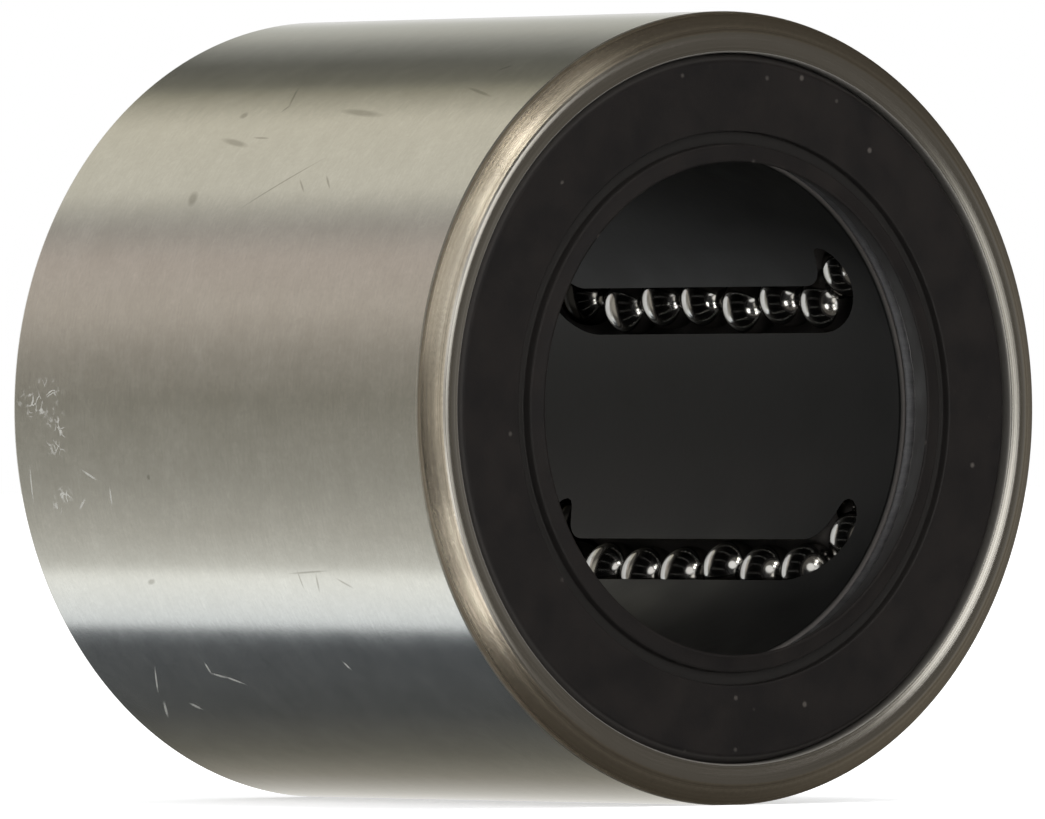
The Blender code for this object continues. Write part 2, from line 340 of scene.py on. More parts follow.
LINT_PATCHES = (
    (0.6, -14.4, 1.5, 0.8, 80),
    (-1.2, -13.0, 1.0, 0.8, 30),
    (-4.6, -13.2, 0.8, 0.5, 60),
)


def unrolled(tree, place):
    """The way round the cylinder and the height, in millimetres, as one coordinate."""
    axes = add_node(tree, "SeparateXYZ", {0: place})
    angle = sums(tree, "ARCTAN2", axes.outputs[2], sums(tree, "MULTIPLY", axes.outputs[0], -1.0))
    way_round = sums(tree, "MULTIPLY", angle, OUTER_RADIUS)
    height = sums(tree, "MULTIPLY", axes.outputs[1], -1.0 / MM)
    return add_node(tree, "CombineXYZ", {0: way_round, 1: height}).outputs[0]


def marked(tree, along, marks):
    """1 inside the marks, 0 outside them, with soft edges."""
    total = 0.0
    for way_round, height, half_length, half_width, tilt in marks:
        sockets = {
            "Vector": along,
            "Location": (way_round, height, 0.0),
            "Rotation": (0.0, 0.0, math.radians(tilt)),
            "Scale": (half_length, half_width, 1.0),
        }
        local = add_node(tree, "Mapping", sockets, vector_type="TEXTURE").outputs[0]
        reach = add_node(tree, "VectorMath", {0: local}, operation="LENGTH").outputs[1]
        total = sums(tree, "MAXIMUM", span(tree, reach, 1.4, 0.6), total)
    return total


def lint(tree, along):
    """Curled fibres that cling to the far end of the cylinder: cracks in a warped cell pattern."""
    warp = add_node(tree, "TexNoise", {"Vector": along, "Scale": 0.9, "Detail": 2.0}).outputs[1]
    bent = add_node(tree, "VectorMath", {0: warp, 1: (2.4, 2.4, 0.0)}, operation="MULTIPLY").outputs[0]
    bent = add_node(tree, "VectorMath", {0: along, 1: bent}, operation="ADD").outputs[0]
    cells = add_node(tree, "TexVoronoi", {"Vector": bent, "Scale": 1.5}, feature="DISTANCE_TO_EDGE")
    fibre = span(tree, cells.outputs[0], 0.075, 0.02)
    patch = marked(tree, along, LINT_PATCHES)
    broken = span(tree, grain(tree, along, 1.3), 0.47, 0.55)
    return sums(tree, "MULTIPLY", sums(tree, "MULTIPLY", fibre, patch), broken)


# %% The cylinder's finish
def ground_steel():
    material, tree, shader, place = new_finish("ground_steel", (0.62, 0.60, 0.56), 1.0, 0.2)
    reach = reach_from_axis(tree, place)
    turned_zone = span(tree, reach, 19.99, 19.93)
    along = unrolled(tree, place)

    hatch = grain(tree, stretched(tree, place, (0.12, 1.0, 0.12)), 9000.0, 2.0, 0.6)
    fine = grain(tree, place, 5200.0, 3.0, 0.6)
    cloud = grain(tree, place, 420.0, 5.0, 0.65)
    mottle = grain(tree, stretched(tree, place, (1.0, 1.0, 1.6)), 1100.0, 4.0, 0.7)
    ground = tint(tree, span(tree, cloud, 0.3, 0.7), (0.595, 0.585, 0.555), (0.665, 0.655, 0.625))
    ground = tint(tree, span(tree, mottle, 0.35, 0.7, 0.0, 0.32), ground, (0.50, 0.49, 0.46))
    ground = tint(tree, span(tree, fine, 0.3, 0.7, 0.0, 0.34), ground, (0.50, 0.49, 0.47))
    ground = tint(tree, span(tree, hatch, 0.3, 0.7, 0.0, 0.22), ground, (0.45, 0.45, 0.43))
    stain = sums(tree, "MULTIPLY", marked(tree, along, DARK_MARKS), 0.5)
    ground = tint(tree, stain, ground, (0.22, 0.21, 0.18))
    fibres = sums(tree, "MULTIPLY", marked(tree, along, PALE_MARKS), 0.36)
    fluff = sums(tree, "MAXIMUM", fibres, sums(tree, "MULTIPLY", lint(tree, along), 0.5))
    fluff = sums(tree, "MULTIPLY", fluff, span(tree, turned_zone, 0.0, 1.0, 1.0, 0.0))

    rings = grain(tree, add_node(tree, "CombineXYZ", {0: reach}).outputs[0], 6.0, 4.0, 0.8)
    lathe = tint(tree, span(tree, rings, 0.4, 0.62), (0.36, 0.32, 0.26), (0.64, 0.59, 0.50))
    lathe = tint(tree, span(tree, fine, 0.35, 0.75, 0.0, 0.35), lathe, (0.25, 0.22, 0.17))
    # Painted shade: the chamfer darkens and browns towards its outer edge, standing in for its dimmer
    # reflection there
    lathe = tint(tree, span(tree, reach, 19.2, 19.85, 0.0, 0.6), lathe, (0.26, 0.22, 0.165))
    end_face = span(tree, reach, LAND_OUTER + 0.01, LAND_OUTER - 0.03)
    faced = tint(tree, span(tree, rings, 0.35, 0.65), (0.48, 0.46, 0.42), (0.62, 0.60, 0.56))
    lathe = tint(tree, end_face, lathe, faced)
    seat = span(tree, reach, 18.0, 17.93)
    lathe = tint(tree, seat, lathe, (0.15, 0.14, 0.125))
    colour = tint(tree, turned_zone, ground, lathe)
    colour = tint(tree, fluff, colour, (0.75, 0.75, 0.70))
    feed(tree, shader.inputs["Base Color"], colour)
    covered = sums(tree, "MAXIMUM", fluff, sums(tree, "MULTIPLY", seat, 0.65))
    feed(tree, shader.inputs["Metallic"], span(tree, covered, 0.0, 1.0, 1.0, 0.0))

    ground_rough = span(tree, cloud, 0.25, 0.75, 0.10, 0.14)
    turned_rough = span(tree, end_face, 0.0, 1.0, 0.25, 0.17)
    turned_rough = sums(tree, "ADD", turned_rough, sums(tree, "MULTIPLY", seat, 0.3))
    rough = add_node(tree, "Mix", {0: turned_zone, 2: ground_rough, 3: turned_rough}).outputs[0]
    from_middle = sums(tree, "ABSOLUTE", add_node(tree, "SeparateXYZ", {0: place}).outputs[1])
    near_end = span(tree, from_middle, 0.01650, 0.01657)
    worn_edge = sums(tree, "MULTIPLY", near_end, span(tree, reach, 19.82, 19.92, 0.0, 0.4))
    rough = sums(tree, "ADD", rough, worn_edge)
    rough = sums(tree, "ADD", rough, sums(tree, "MULTIPLY", fluff, 0.5))
    feed(tree, shader.inputs["Roughness"], rough)

    ground_height = sums(tree, "MULTIPLY", sums(tree, "ADD", hatch, fine), 0.1)
    heights = add_node(tree, "Mix", {0: turned_zone, 2: ground_height, 3: rings}).outputs[0]
    raise_surface(tree, shader, heights, 0.000008)
    return material


# %% [markdown]
# ## Black rubber and black plastic
#
# Both are black, so the eye tells them apart by their gloss. The seal is moulded rubber: matte, with
# a fine grain, a faint brown bloom and specks of dust. The cage is moulded plastic with a slight oil
# film: a darker, smoother surface with soft reflections.


# %% The seal's and the cage's finishes
def seal_rubber():
    material, tree, shader, place = new_finish("seal_rubber", (0.02, 0.018, 0.018), 0.0, 0.5)
    bloom = grain(tree, place, 420.0, 4.0, 0.6)
    skin = grain(tree, place, 3600.0, 3.0, 0.65)
    bloomed = span(tree, bloom, 0.35, 0.7)
    colour = tint(tree, bloomed, (0.0075, 0.0062, 0.0062), (0.0135, 0.0105, 0.0092))
    reach = reach_from_axis(tree, place)
    groove = sums(tree, "MULTIPLY", span(tree, reach, 13.2, 13.35), span(tree, reach, 14.05, 13.9))
    colour = tint(tree, groove, colour, (0.020, 0.018, 0.0165))
    # Painted light: the seal's outer bevel is painted lighter, against the shade it lies in beside the
    # steel seat
    colour = tint(tree, span(tree, reach, 17.5, 17.6), colour, (0.040, 0.036, 0.033))
    dust = add_node(tree, "TexVoronoi", {"Vector": place, "Scale": 900.0})
    chosen = span(tree, add_node(tree, "SeparateColor", {0: dust.outputs[1]}).outputs[0], 0.86, 0.9)
    speck = sums(tree, "MULTIPLY", span(tree, dust.outputs[0], 0.16, 0.07), chosen)
    colour = tint(tree, sums(tree, "MULTIPLY", speck, 0.35), colour, (0.16, 0.14, 0.12))
    feed(tree, shader.inputs["Base Color"], colour)
    feed(tree, shader.inputs["Roughness"], span(tree, bloom, 0.3, 0.7, 0.46, 0.6))
    shader.inputs["Specular IOR Level"].default_value = 0.3
    raise_surface(tree, shader, skin, 0.000012)
    return material


def cage_plastic():
    material, tree, shader, place = new_finish("retainer_plastic", (0.012, 0.012, 0.012), 0.0, 0.3)
    film = grain(tree, place, 330.0, 3.0, 0.55)
    skin = grain(tree, place, 2600.0, 2.0)
    oiled = span(tree, film, 0.35, 0.7)
    colour = tint(tree, oiled, (0.0054, 0.0054, 0.0052), (0.0076, 0.0072, 0.0066))
    # Painted light: inside the slots, where little light reaches, the plastic is painted much lighter
    slot_painted_light = span(tree, reach_from_axis(tree, place), 12.96, 13.1)
    colour = tint(tree, slot_painted_light, colour, (0.14, 0.128, 0.118))
    feed(tree, shader.inputs["Base Color"], colour)
    feed(tree, shader.inputs["Roughness"], span(tree, film, 0.3, 0.7, 0.3, 0.42))
    shader.inputs["Specular IOR Level"].default_value = 0.19
    raise_surface(tree, shader, skin, 0.000004)
    return material


# %% [markdown]
# ## Ring steel and ball steel
#
# The side rings are pressed from bright strip: streaky, a little rough. The balls are lapped to a
# mirror. What shows on a mirror ball is only what stands round it, so its finish needs no more than
# a thin, uneven film of oil and a dim tint at its rim. The balls at the far ends of the circuits are
# painted dark, a painted shade that dims what they mirror there.


# %% The side rings' and the balls' finishes
def ring_steel():
    material, tree, shader, place = new_finish("side_ring_steel", (0.55, 0.55, 0.54), 1.0, 0.3)
    rub = grain(tree, stretched(tree, place, (1.0, 0.2, 1.0)), 2400.0, 4.0, 0.65)
    colour = tint(tree, span(tree, rub, 0.3, 0.7), (0.23, 0.23, 0.24), (0.38, 0.38, 0.40))
    feed(tree, shader.inputs["Base Color"], colour)
    feed(tree, shader.inputs["Roughness"], span(tree, rub, 0.3, 0.7, 0.42, 0.58))
    raise_surface(tree, shader, rub, 0.000003)
    return material


def ball_steel():
    material, tree, shader, place = new_finish("ball_steel", (0.78, 0.78, 0.77), 1.0, 0.05)
    film = grain(tree, place, 900.0, 3.0, 0.6)
    colour = tint(tree, span(tree, film, 0.4, 0.7), (0.56, 0.56, 0.55), (0.47, 0.46, 0.45))
    # Painted shade: towards the back end the balls are painted almost black
    back_turns_painted_dark = span(tree, add_node(tree, "SeparateXYZ", {0: place}).outputs[1], 0.0085, 0.0100)
    colour = tint(tree, back_turns_painted_dark, colour, (0.03, 0.03, 0.03))
    feed(tree, shader.inputs["Base Color"], colour)
    feed(tree, shader.inputs["Roughness"], span(tree, film, 0.35, 0.7, 0.12, 0.17))
    shader.inputs["Specular Tint"].default_value = (0.25, 0.24, 0.22, 1.0)
    return material


finishes = {
    "ground_steel": ground_steel(),
    "side_ring_steel": ring_steel(),
    "retainer_plastic": cage_plastic(),
    "seal_rubber": seal_rubber(),
    "ball_steel": ball_steel(),
}
print("finishes:", ", ".join(finishes))

# %% [markdown]
# ## The path of the balls
#
# In each of the six circuits the balls run along the shaft, round a half turn, back along a return
# row further out, and round again: a racetrack standing on edge in the cage. Its own frame has the
# load row at -X and the return row at +X. One matrix carries it to its place round the axis, and the
# cage's channels and all the balls use that same matrix, so they can't drift apart.

# %% Where each circuit lies
row_angle = math.acos(
    (LOAD_RADIUS**2 + RETURN_RADIUS**2 - (2 * TURN_RADIUS) ** 2) / (2 * LOAD_RADIUS * RETURN_RADIUS)
)
load_point = Vector((LOAD_RADIUS, 0.0, 0.0))
return_point = Vector((math.cos(row_angle), math.sin(row_angle), 0.0)) * RETURN_RADIUS
tilt = math.atan2(return_point.y - load_point.y, return_point.x - load_point.x)


def circuit_matrix(circuit):
    """From a circuit's own frame in metres to the bearing's."""
    angle = math.radians(FIRST_CIRCUIT_DEG) + circuit * math.tau / CIRCUITS
    middle = Matrix.Translation((load_point + return_point) / 2 * MM)
    return Matrix.Rotation(angle, 4, "Z") @ middle @ Matrix.Rotation(tilt, 4, "Z")


print("return row lies", round(math.degrees(row_angle), 2), "degrees past the load row")

# %% [markdown]
# ## Cutting with a boolean
#
# The cylinder has a groove over each return row, and the cage has the six ball channels. Both are
# real cuts through a turned body, which a Boolean modifier makes from a cutting tool. The result is
# taken as plain mesh, and the tool is thrown away.


# %% Cut one shape with another
def cut_away(shape, tool):
    """Subtracts one bmesh from another and returns the rest as a new bmesh."""
    objects = []
    for name, part in (("blank", shape), ("tool", tool)):
        mesh = bpy.data.meshes.new(name)
        part.to_mesh(mesh)
        part.free()
        item = bpy.data.objects.new(name, mesh)
        bpy.context.scene.collection.objects.link(item)
        objects.append(item)
    blank, cutter = objects
    cut = blank.modifiers.new("cut", "BOOLEAN")
    cut.operation = "DIFFERENCE"
    cut.solver = "EXACT"
    cut.object = cutter
    bpy.context.view_layer.update()
    evaluated = blank.evaluated_get(bpy.context.evaluated_depsgraph_get())
    rest = bmesh.new()
    rest.from_mesh(evaluated.data)
    for item in objects:
        mesh = item.data
        bpy.data.objects.remove(item)
        bpy.data.meshes.remove(mesh)
    bmesh.ops.remove_doubles(rest, verts=rest.verts, dist=0.0002 * MM)
    return rest


def groove_tool():
    """Six round bars that cut the return rows' grooves."""
    tool = bmesh.new()
    for circuit in range(CIRCUITS):
        angle = math.radians(FIRST_CIRCUIT_DEG) + circuit * math.tau / CIRCUITS + row_angle
        turn = Matrix.Rotation(angle, 4, "Z") @ Matrix.Translation((RETURN_RADIUS * MM, 0.0, 0.0))
        bmesh.ops.create_cone(
            tool,
            cap_ends=True,
            segments=32,
            radius1=RETURN_GROOVE_RADIUS * MM,
            radius2=RETURN_GROOVE_RADIUS * MM,
            depth=RETURN_GROOVE_LENGTH * MM,
            matrix=turn,
        )
    return tool


def channel_tool(sides=32, turn_steps=24):
    """Six closed tubes along the ball circuits: a circle drawn along one row and spun round a turn."""
    tool = bmesh.new()
    half = HALF_STRAIGHT * MM
    for circuit in range(CIRCUITS):
        track = bmesh.new()
        start = Matrix.Translation((-TURN_RADIUS * MM, 0.0, -half))
        bmesh.ops.create_circle(
            track, cap_ends=False, segments=sides, radius=CHANNEL_RADIUS * MM, matrix=start
        )
        rim = track.edges[:]
        for end in (1, -1):
            drawn = bmesh.ops.extrude_edge_only(track, edges=rim)["geom"]
            corners = [item for item in drawn if isinstance(item, bmesh.types.BMVert)]
            bmesh.ops.translate(track, verts=corners, vec=(0.0, 0.0, 2 * half * end))
            rim = [item for item in drawn if isinstance(item, bmesh.types.BMEdge)]
            spun = bmesh.ops.spin(
                track,
                geom=rim + corners,
                cent=(0.0, 0.0, half * end),
                axis=(0.0, 1.0, 0.0),
                angle=math.pi,
                steps=turn_steps,
            )["geom_last"]
            rim = [item for item in spun if isinstance(item, bmesh.types.BMEdge)]
        bmesh.ops.remove_doubles(track, verts=track.verts, dist=0.001 * MM)
        bmesh.ops.recalc_face_normals(track, faces=track.faces)
        track.transform(circuit_matrix(circuit))
        mesh = bpy.data.meshes.new("track")
        track.to_mesh(mesh)
        track.free()
        tool.from_mesh(mesh)
        bpy.data.meshes.remove(mesh)
    return tool


# %% [markdown]
# ## The outer cylinder
#
# A tube with a stepped bore: the raceway in the middle, a wider recess at each end where the balls
# turn, and a seat for the side ring and the seal. The end face isn't dead flat: it falls away a touch
# towards the seat, and a narrow land, flatter than the chamfer, breaks its outer corner. Those two
# slopes catch the front light, the land as a bright line on the left and the face as a bright ring on
# the right. The chamfer is crowned by a hair, so its shading runs softly from edge to edge.

# %% Turn and cut the cylinder
LAND_MARGIN = 0.015  # an extra line just inside each border keeps the land's shading crisp
land_slope = LAND_FALL / (LAND_OUTER - LAND_INNER)
chamfer_start = Vector((OUTER_RADIUS, HALF_LENGTH - CHAMFER_LENGTH))
chamfer_end = Vector((LAND_OUTER, HALF_LENGTH - LAND_FALL))
outward = (chamfer_end - chamfer_start).orthogonal().normalized() * -1
chamfer = []
for share in (0.0, 0.2, 0.4, 0.6, 0.8, 1.0):
    bulge = 4 * share * (1 - share) * CHAMFER_BULGE
    chamfer.append(tuple(chamfer_start.lerp(chamfer_end, share) + outward * bulge))
print("chamfer points:", [(round(x, 3), round(y, 3)) for x, y in chamfer])
cylinder_front = chamfer + [
    (LAND_OUTER - LAND_MARGIN, HALF_LENGTH - LAND_FALL + LAND_MARGIN * land_slope),
    (LAND_INNER + LAND_MARGIN, HALF_LENGTH - LAND_MARGIN * land_slope),
    (LAND_INNER, HALF_LENGTH),
    (CROWN_RADIUS, HALF_LENGTH),
    (SEAT_RADIUS, HALF_LENGTH - CROWN_FALL),
    (SEAT_RADIUS, SHOULDER),
    (RECESS_RADIUS, SHOULDER),
    (RECESS_RADIUS, RECESS_DEPTH_END),
    (RACEWAY_RADIUS, RACEWAY_START),
]
cylinder = turned(both_ends(cylinder_front))
for end in (1, -1):
    round_corner(cylinder, OUTER_RADIUS, end * (HALF_LENGTH - CHAMFER_LENGTH), 0.08, 4)
    round_corner(cylinder, SEAT_RADIUS, end * (HALF_LENGTH - CROWN_FALL), 0.11, 4)
cylinder = cut_away(cylinder, groove_tool())
print("cylinder faces:", len(cylinder.faces))
finish_piece(
    "ground_cylinder", cylinder, "shell", ["outer_cylinder"], finishes["ground_steel"]
)

# %% [markdown]
# ## The cage
#
# The cage is a plain turned tube until the channels are cut. Where a channel comes nearer to the axis
# than the bore, it opens a slot, and the load balls show through it. At each end the channel climbs
# away from the bore, so the slot narrows and turns up by itself.

# %% Turn and cut the cage
cage_front = [(CAGE_RADIUS, CAGE_HALF_LENGTH), (CAGE_BORE, CAGE_HALF_LENGTH)]
cage = turned(both_ends(cage_front))
for end in (1, -1):
    round_corner(cage, CAGE_BORE, end * CAGE_HALF_LENGTH, 0.15)
cage = cut_away(cage, channel_tool())
print("cage faces:", len(cage.faces))
finish_piece(
    "ball_cage", cage, "shell", ["ball_retainer"], finishes["retainer_plastic"]
)

# %% [markdown]
# ## Side rings and seals
#
# The two ends are alike, so each ring is turned once for the front and once more for the back, where
# half a turn about X brings it over.

# %% Turn the rings and the seals
for end, turn in (("front", 0), ("back", 180)):
    ring = turned(
        [
            (RING_BORE, RING_FRONT),
            (RIM_RADIUS, RING_FRONT),
            (RIM_RADIUS, RING_BACK),
            (RING_BORE, RING_BACK),
        ]
    )
    for height in (RING_FRONT, RING_BACK):
        round_corner(ring, RING_BORE, height, 0.12)
        round_corner(ring, RIM_RADIUS, height, 0.05, 2)
    ring.transform(Matrix.Rotation(math.radians(turn), 4, "X"))
    finish_piece(
        "side_ring_" + end + "_fine",
        ring,
        "shell",
        ["side_ring_" + end],
        finishes["side_ring_steel"],
    )

    seal = turned(
        [
            (LIP_RADIUS, LIP_CREST - 0.06),
            (LIP_RADIUS + 0.12, LIP_CREST),
            (LIP_RADIUS + 0.34, LIP_CREST - 0.09),
            (LIP_RING_RADIUS, LIP_CREST - 0.1),
            (LIP_RING_RADIUS, SEAL_FACE - GROOVE_DEPTH),
            (LIP_RING_RADIUS + GROOVE_WIDTH, SEAL_FACE - GROOVE_DEPTH),
            (LIP_RING_RADIUS + GROOVE_WIDTH, SEAL_FACE),
            (RIM_RADIUS - SEAL_EDGE_DEPTH, SEAL_FACE),
            (RIM_RADIUS, SEAL_FACE - SEAL_EDGE_LENGTH),
            (RIM_RADIUS, SEAL_BACK),
            (LIP_RING_RADIUS, SEAL_BACK),
            (LIP_RADIUS + 0.4, LIP_CREST - 1.5),
        ]
    )
    round_corner(seal, LIP_RADIUS, LIP_CREST - 0.06, 0.04)
    round_corner(seal, LIP_RADIUS + 0.12, LIP_CREST, 0.06)
    round_corner(seal, LIP_RING_RADIUS, LIP_CREST - 0.1, 0.14, 4)
    round_corner(seal, LIP_RING_RADIUS, SEAL_FACE - GROOVE_DEPTH, 0.1)
    round_corner(seal, LIP_RING_RADIUS + GROOVE_WIDTH, SEAL_FACE - GROOVE_DEPTH, 0.1)
    round_corner(seal, LIP_RING_RADIUS + GROOVE_WIDTH, SEAL_FACE, 0.1)
    round_corner(seal, RIM_RADIUS - SEAL_EDGE_DEPTH, SEAL_FACE, 0.16)
    round_corner(seal, LIP_RADIUS + 0.4, LIP_CREST - 1.5, 0.12)
    seal.transform(Matrix.Rotation(math.radians(turn), 4, "X"))
    finish_piece(
        "lip_seal_" + end,
        seal,
        "shell",
        ["end_seal_" + end],
        finishes["seal_rubber"],
    )

# %% [markdown]
# ## The balls
#
# Ninety-six balls in six circuits. Each load ball is a piece of its own. The balls of a return row
# and the pair in a turn move together, so each such group is one piece of separate spheres, standing
# for the joined CAD solid. The load rows don't lie perfectly straight: every load ball sits a touch
# to one side of its channel, as loose balls do, which breaks up the reflections. The first and last
# ball of a row lie aside less, because the channel bends away there.

# %% Place the balls
SIDE_STEP = 0.2
SIDE_PATTERN = (
    (0.0, 1.0, -0.95, 0.9, 0.85, -0.7),
    (-0.7, 0.9, -1.0, 0.4, -0.8, 0.35),
    (0.3, -0.5, 1.0, -0.9, 0.3, -0.7),
    (-0.7, 0.6, -0.4, 1.0, -1.0, 0.35),
    (0.35, -1.0, 0.8, -0.6, 0.9, -0.2),
    (0.35, -0.4, 0.95, -1.0, -1.0, 0.35),
)
turn_ball_angle = math.asin(TURN_HALF_GAP / TURN_RADIUS)


def balls(spots):
    """One bmesh with a sphere at each spot, given in a circuit's own frame in millimetres."""
    group = bmesh.new()
    for spot in spots:
        bmesh.ops.create_uvsphere(
            group,
            u_segments=40,
            v_segments=20,
            radius=BALL_RADIUS * MM,
            matrix=Matrix.Translation(Vector(spot) * MM),
        )
    return group


def turn_spots(end, travel):
    """The two balls of a turn, which have moved round it by the same length as the row has slid."""
    spots = []
    for side in (-1, 1):
        angle = side * turn_ball_angle + travel / TURN_RADIUS
        if end == "back":
            angle += math.pi
        spots.append(
            (
                TURN_RADIUS * math.sin(angle),
                0.0,
                (HALF_STRAIGHT if end == "front" else -HALF_STRAIGHT) + TURN_RADIUS * math.cos(angle),
            )
        )
    return spots


made = 0
middle = (LOAD_BALLS - 1) / 2
for circuit in range(CIRCUITS):
    title = f"circuit_{circuit + 1}"
    place = circuit_matrix(circuit)
    travel = REST_TRAVEL[circuit]
    groups = []
    for number in range(LOAD_BALLS):
        aside = SIDE_STEP * SIDE_PATTERN[circuit][number]
        height = (middle - number) * BALL_PITCH + travel
        node = f"{title}_load_ball_{number + 1}"
        groups.append((node, title + "_load_row", [(-TURN_RADIUS + aside, 0.0, height)]))
    row = [(TURN_RADIUS, 0.0, (n - middle) * RETURN_PITCH - travel) for n in range(LOAD_BALLS)]
    groups.append((title + "_return_balls", title + "_return_row", row))
    for end in ("front", "back"):
        node = f"{title}_{end}_turn_balls"
        groups.append((node, f"{title}_{end}_turn", turn_spots(end, travel)))
    for node, body, spots in groups:
        group = balls(spots)
        group.transform(place)
        finish_piece(
            node.replace("_balls", "") + "_polished",
            group,
            body,
            [node],
            finishes["ball_steel"],
            turned_piece=False,
        )
        made += len(spots)
print("balls made:", made)

# %% [markdown]
# ## Floor and background
#
# The bearing lies on a pale floor in front of nothing but white. The world is white for the camera
# and for reflections, and gives a plain soft light to everything else.

# %% White world and pale floor
FLOOR_HALF_SIZE = 3.0  # metres
world = bpy.data.worlds.new("studio")
bpy.context.scene.world = world
world.use_nodes = True
sky = world.node_tree
sky.nodes.clear()
soft_light = add_node(sky, "Background", {"Color": (0.95, 0.97, 1.0, 1.0), "Strength": 0.75})
backdrop = add_node(sky, "Background", {"Color": (1.0, 1.0, 1.0, 1.0), "Strength": 1.0})
mixed = {0: seen_directly(sky), 1: soft_light.outputs[0], 2: backdrop.outputs[0]}
shown = add_node(sky, "MixShader", mixed)
add_node(sky, "OutputWorld", {"Surface": shown.outputs[0]})


def stage_piece(name, shape, material):
    mesh = bpy.data.meshes.new(name)
    shape.to_mesh(mesh)
    shape.free()
    mesh.materials.append(material)
    item = bpy.data.objects.new(name, mesh)
    bpy.context.scene.collection.objects.link(item)
    return item


floor_finish, tree, shader, place = new_finish("pale_floor", (0.9, 0.9, 0.9), 0.0, 0.8)
mottle = span(tree, grain(tree, place, 40.0), 0.3, 0.7)
feed(tree, shader.inputs["Base Color"], tint(tree, mottle, (0.90, 0.90, 0.90), (0.93, 0.93, 0.93)))
shader.inputs["Emission Color"].default_value = (1.0, 1.0, 1.0, 1.0)
feed(tree, shader.inputs["Emission Strength"], sums(tree, "MULTIPLY", seen_directly(tree), 0.55))
floor_shape = bmesh.new()
bmesh.ops.create_grid(floor_shape, x_segments=1, y_segments=1, size=FLOOR_HALF_SIZE)
bmesh.ops.translate(floor_shape, verts=floor_shape.verts, vec=(0.0, 0.0, cad_box[0].z))
floor = stage_piece("pale_floor", floor_shape, floor_finish)
floor.visible_glossy = False

# %% [markdown]
# ## A tent for the steel to reflect
#
# Seen from the camera, the side of the cylinder reflects the studio behind and beside it, squeezed
# into level bands: the white backdrop at the very top and bottom, a dark flag, the warm ceiling, the
# dim far side of the room, a strip of lit table, and under the bearing a dark band that is a painted
# shadow: the bearing's own shadow on the table. The tent is a large sphere round the bearing that
# only reflections see. Its light comes from one colour ramp over the angle round the axis.

# %% Bands of light round the axis
TENT_RADIUS = 2.4  # metres
# Angle from the camera's side of the horizon, upwards positive, and the colour of the tent there
TENT_BANDS = (
    (-180, (1.00, 1.00, 1.00)),
    (-163, (0.74, 0.72, 0.67)),
    (-138, (0.31, 0.295, 0.25)),
    # Painted shadow: the dark bands from -122 to -69 are the bearing's own shadow on the table beside
    # the lit strip
    (-122, (0.17, 0.165, 0.14)),
    (-100, (0.09, 0.095, 0.095)),
    (-74, (0.10, 0.11, 0.12)),
    (-69, (0.19, 0.21, 0.23)),
    (-66, (1.05, 1.11, 1.15)),
    (-50, (1.28, 1.30, 1.24)),
    (-47, (0.82, 0.82, 0.76)),
    (-36, (0.60, 0.59, 0.53)),
    (-20, (0.42, 0.41, 0.36)),
    (3, (0.30, 0.285, 0.24)),
    (16, (0.40, 0.37, 0.32)),
    (30, (0.62, 0.56, 0.49)),
    (45, (0.62, 0.55, 0.49)),
    (55, (0.48, 0.45, 0.41)),
    (60, (0.56, 0.54, 0.48)),
    (68, (0.82, 0.79, 0.68)),
    (94, (0.80, 0.76, 0.63)),
    (106, (0.42, 0.40, 0.31)),
    (112, (0.19, 0.185, 0.15)),
    (124, (0.145, 0.145, 0.125)),
    (136, (0.31, 0.31, 0.28)),
    (146, (0.49, 0.49, 0.44)),
    (158, (0.59, 0.59, 0.54)),
    (170, (0.84, 0.84, 0.82)),
)
tent_light = bpy.data.materials.new("tent_light")
tent_light.use_nodes = True
tree = tent_light.node_tree
tree.nodes.clear()
place = tree.nodes.new("ShaderNodeTexCoord").outputs["Object"]
axes = add_node(tree, "SeparateXYZ", {0: place})
# The tangent of Z over -X is the angle round the bearing's axis, counted from the camera's side
round_axis = sums(tree, "ARCTAN2", axes.outputs[2], sums(tree, "MULTIPLY", axes.outputs[0], -1.0))
along = span(tree, round_axis, -math.pi, math.pi)
bands = tree.nodes.new("ShaderNodeValToRGB")
feed(tree, bands.inputs[0], along)
stops = bands.color_ramp.elements
while len(stops) > 1:
    stops.remove(stops[-1])
for number, (angle, colour) in enumerate(TENT_BANDS):
    spot = (angle + 180) / 360
    stop = stops[0] if number == 0 else stops.new(spot)
    stop.position = spot
    stop.color = (*colour, 1.0)
print("tent bands:", len(stops))

# %% [markdown]
# Behind the bearing there is nothing but the white backdrop. The front of the tent, which the seal
# and the bore face, is dark: black parts only look black when what they mirror is dark too. In it
# hang the studio's lamps, as soft round spots, and a grey wall stands on the left.

# %% The tent's back, dark front and lamps
unit = add_node(tree, "VectorMath", {0: place}, operation="NORMALIZE").outputs[0]
headings = add_node(tree, "SeparateXYZ", {0: unit})
forward = sums(tree, "MULTIPLY", headings.outputs[1], -1.0)
behind = span(tree, forward, -0.82, -0.845, smooth=True)
glow = tint(tree, behind, bands.outputs[0], (1.05, 1.05, 1.03))
front = span(tree, forward, -0.74, -0.69, smooth=True)
glow = tint(tree, front, glow, (0.115, 0.106, 0.092))
beside = sums(tree, "MULTIPLY", front, span(tree, forward, 0.18, 0.06))
left = sums(tree, "MULTIPLY", beside, span(tree, headings.outputs[0], -0.6, -0.78))
glow = tint(tree, left, glow, (0.45, 0.42, 0.36))
